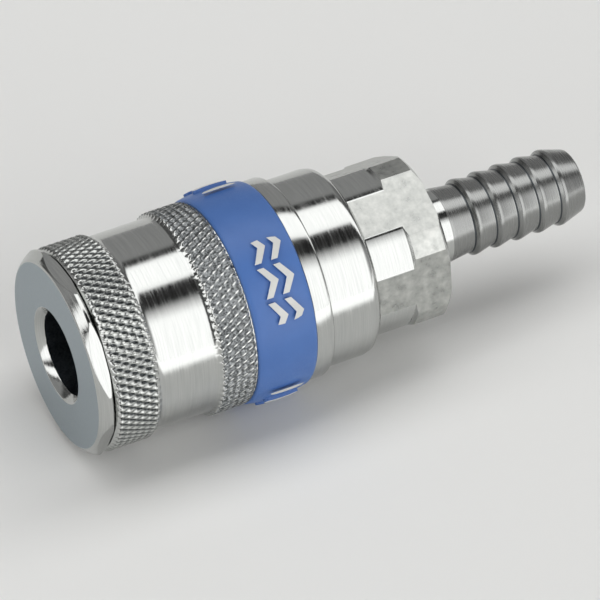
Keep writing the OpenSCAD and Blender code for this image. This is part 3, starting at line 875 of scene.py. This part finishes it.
dress(nose, [plate, ground_face, shaded_bore], on_front_body)
dress(sleeve_piece, [plate, front_knurl_with_shade, rear_knurl_with_shade_and_highlight], in_knurl)
dress(blue_ring, [blue_plastic])
dress(motif_piece, [blue_plastic, silver_print], on_top)
dress(rear, [plate, milled_flat], on_flat)
dress(tail, [tail_steel, plate, painted_barb_shade], on_tail)

# %% Finishes on the inner pieces that stay from the CAD model
inner = {
    "sleeve_spring": spring_wire, "valve_spring": spring_wire,
    "valve_poppet": brass, "valve_guide": brass,
    "plug_seal": rubber, "valve_washer": rubber, "body_seal": rubber, "tail_seal": rubber,
}
inner |= {name: ball_steel for name in nodes if name.startswith("ball_")}
for name, finish in inner.items():
    dress(nodes[name], [finish])
print("finished", len(inner), "inner pieces")


# %% [markdown]
# ## Springs
# A steel spring shortens when its joint moves, which a rigid piece can't show. Here each
# spring only gets its own copy of its mesh, and it is not squashed.


def close_spring(node):
    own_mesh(nodes[node])


close_spring("sleeve_spring")
close_spring("valve_spring")

# %% [markdown]
# ## Floor, light and camera
# The coupler lies on a pale floor in a light tent. The tent is drawn in the world by
# direction: a long white panel overhead, another in front, a dark gap between them, and a
# grey wall behind. Turned metal shows that as the long bands of the photograph. The front
# panel has an opening where the camera looks in, and one side of each knurl pyramid mirrors
# it and stays dark. The tent is dimmer towards the hose end. Lamps could make the same
# bands, but a lamp is a small spot in a mirror, and these bands are wide with soft ends.
# A low panel lies on the floor in front, outside the picture. It carries the white band on
# below the horizon, as the photograph has it, until the grey of the near floor begins. It
# fades out towards the picture, so the band ends softly and no edge shows from other sides.

# %% Floor
FLOOR_HALF, FLOOR_MIDDLE, FLOOR_GAP = 1.2, 0.04, 0.02


def matt_paper(name):
    """Pale matt paper, for the floor and for the skin of the low panel."""
    paper = bpy.data.materials.new(name)
    paper.use_nodes = True
    shader = paper.node_tree.nodes["Principled BSDF"]
    shader.inputs["Base Color"].default_value = linear("#E6E6E4")
    shader.inputs["Roughness"].default_value = 0.9
    return paper, paper.node_tree, shader


def floor():
    """The one drawing in metres. It lies a hair below the band, the widest piece."""
    bm = bmesh.new()
    bmesh.ops.create_grid(bm, x_segments=1, y_segments=1, size=FLOOR_HALF)
    height = -(BAND_CROWN_R + FLOOR_GAP) * MM
    bmesh.ops.translate(bm, vec=(FLOOR_MIDDLE, 0, height), verts=bm.verts[:])
    made = object_of(mesh_of(bm, "floor"))
    made.data.materials.append(matt_paper("Pale paper floor")[0])


floor()


# %% Low light panel in front
def low_panel(near, far, left, right, soft, strength):
    """A flat panel on the floor, just outside the picture, that fades out to its near edges."""
    bm = bmesh.new()
    bmesh.ops.create_grid(bm, x_segments=1, y_segments=1, size=0.5)
    bmesh.ops.scale(bm, vec=(right - left, far - near, 1), verts=bm.verts[:])
    middle = ((left + right) / 2, -(near + far) / 2, -BAND_CROWN_R)
    bmesh.ops.translate(bm, vec=middle, verts=bm.verts[:])
    bmesh.ops.transform(bm, matrix=Matrix.Scale(MM, 4), verts=bm.verts[:])
    made = object_of(mesh_of(bm, "low_panel"))
    glow, tree, shader = matt_paper("Light panel")
    place = add(tree, "ShaderNodeTexCoord")
    apart = add(tree, "ShaderNodeSeparateXYZ", links={"Vector": place.outputs["Object"]})
    from_near = add(tree, "ShaderNodeMath", {"operation": "SUBTRACT"}, {0: -near * MM},
                    {1: apart.outputs["Y"]})
    from_left = add(tree, "ShaderNodeMath", {"operation": "SUBTRACT"}, {1: left * MM},
                    {0: apart.outputs["X"]})
    inside = add(tree, "ShaderNodeMath", {"operation": "MINIMUM"},
                 links={0: from_near.outputs["Value"], 1: from_left.outputs["Value"]})
    fade = add(tree, "ShaderNodeMapRange", values={"From Max": soft * MM, "To Max": strength},
               links={"Value": inside.outputs["Value"]})
    shader.inputs["Emission Color"].default_value = linear("#FFFFFF")
    tree.links.new(fade.outputs["Result"], shader.inputs["Emission Strength"])
    made.data.materials.append(glow)


low_panel(near=67, far=1150, left=-95, right=500, soft=35, strength=1.4)


# %% Light tent
def set_stops(ramp, stops):
    """Gives a colour ramp grey stops of (place, level)."""
    while len(ramp.elements) > 1:
        ramp.elements.remove(ramp.elements[-1])
    for number, (place, level) in enumerate(stops):
        stop = ramp.elements[0] if number == 0 else ramp.elements.new(place)
        stop.position, stop.color = place, (level, level, level, 1)


def tent(panels, openings, whole, side, strength):
    """Panels go by the angle round the axis, openings in them by the share along it.

    Whole tells by the angle which panels have no openings.
    """
    world = bpy.data.worlds.new("light tent")
    bpy.context.scene.world = world
    world.use_nodes = True
    tree = world.node_tree
    way = add(tree, "ShaderNodeTexCoord")
    apart = add(tree, "ShaderNodeSeparateXYZ", links={"Vector": way.outputs["Generated"]})
    angle = add(tree, "ShaderNodeMath", {"operation": "ARCTAN2"},
                links={0: apart.outputs["Z"], 1: apart.outputs["Y"]})
    turn = add(tree, "ShaderNodeMapRange", values={"From Min": -math.pi, "From Max": math.pi},
               links={"Value": angle.outputs["Value"]})
    along = add(tree, "ShaderNodeMapRange", values={"From Min": -1.0},
                links={"Value": apart.outputs["X"]})
    light = add(tree, "ShaderNodeValToRGB", links={"Fac": turn.outputs["Result"]})
    set_stops(light.color_ramp, [((degrees + 180) / 360, level) for degrees, level in panels])
    window = add(tree, "ShaderNodeValToRGB", links={"Fac": along.outputs["Result"]})
    set_stops(window.color_ramp, [((share + 1) / 2, level) for share, level in openings])
    overhead = add(tree, "ShaderNodeValToRGB", links={"Fac": turn.outputs["Result"]})
    set_stops(overhead.color_ramp, [((degrees + 180) / 360, level) for degrees, level in whole])
    share = add(tree, "ShaderNodeMath", {"operation": "MAXIMUM"},
                links={0: window.outputs["Color"], 1: overhead.outputs["Color"]})
    glow = add(tree, "ShaderNodeMix", values={2: side},
               links={0: share.outputs["Value"], 3: light.outputs["Color"]})
    background = tree.nodes["Background"]
    tree.links.new(glow.outputs[0], background.inputs["Color"])
    background.inputs["Strength"].default_value = strength
    print("tent with", len(panels), "panel edges")


# The first two stops carry the front panel past the horizon, where the floor has ended.
tent(
    panels=[
        (-180, 1.0), (-178, 1.0), (-176, 0.2), (0, 0.18), (52, 0.2), (56, 0.02), (62, 0.02),
        (66, 1.0), (97, 1.0), (100, 0.01), (118, 0.012), (126, 0.5), (136, 1.0), (180, 1.0),
    ],
    openings=[
        (-1, 1), (-0.66, 1), (-0.56, 0), (-0.14, 0), (-0.04, 1), (0.58, 1),
        (0.68, 0.5), (0.76, 0.5), (0.82, 0.2), (1, 0.2),
    ],
    whole=[(-180, 0), (60, 0), (64, 1), (100, 1), (104, 0)], side=0.05, strength=2.0,
)

# %% [markdown]
# The camera stands where the photographer's did: it was worked out from the outlines of the
# circles on the object. It is far away with a long lens, as in a catalogue photograph, so
# the far end looks hardly smaller than the near one.

# %% Camera
NOSE_CENTRE = Vector((-1.0, 0, 0))
RIGHT = Vector((0.8903, -0.4554, 0))
FORWARD = Vector((0.3380, 0.6608, -0.6701))
CAMERA_UP = RIGHT.cross(FORWARD)
LENS, SENSOR = 336.5, 36
DISTANCE, SHIFT_RIGHT, SHIFT_UP = 738.0, 32.09, 7.325


def camera():
    data = bpy.data.cameras.new("camera")
    data.lens, data.sensor_width = LENS, SENSOR
    data.clip_start, data.clip_end = 0.01, 10
    made = object_of(data)
    stand = NOSE_CENTRE + SHIFT_RIGHT * RIGHT + SHIFT_UP * CAMERA_UP - DISTANCE * FORWARD
    made.location = stand * MM
    made.rotation_euler = Matrix((RIGHT, CAMERA_UP, -FORWARD)).transposed().to_euler()
    bpy.context.scene.camera = made


camera()
bpy.context.scene.view_settings.view_transform = "Standard"
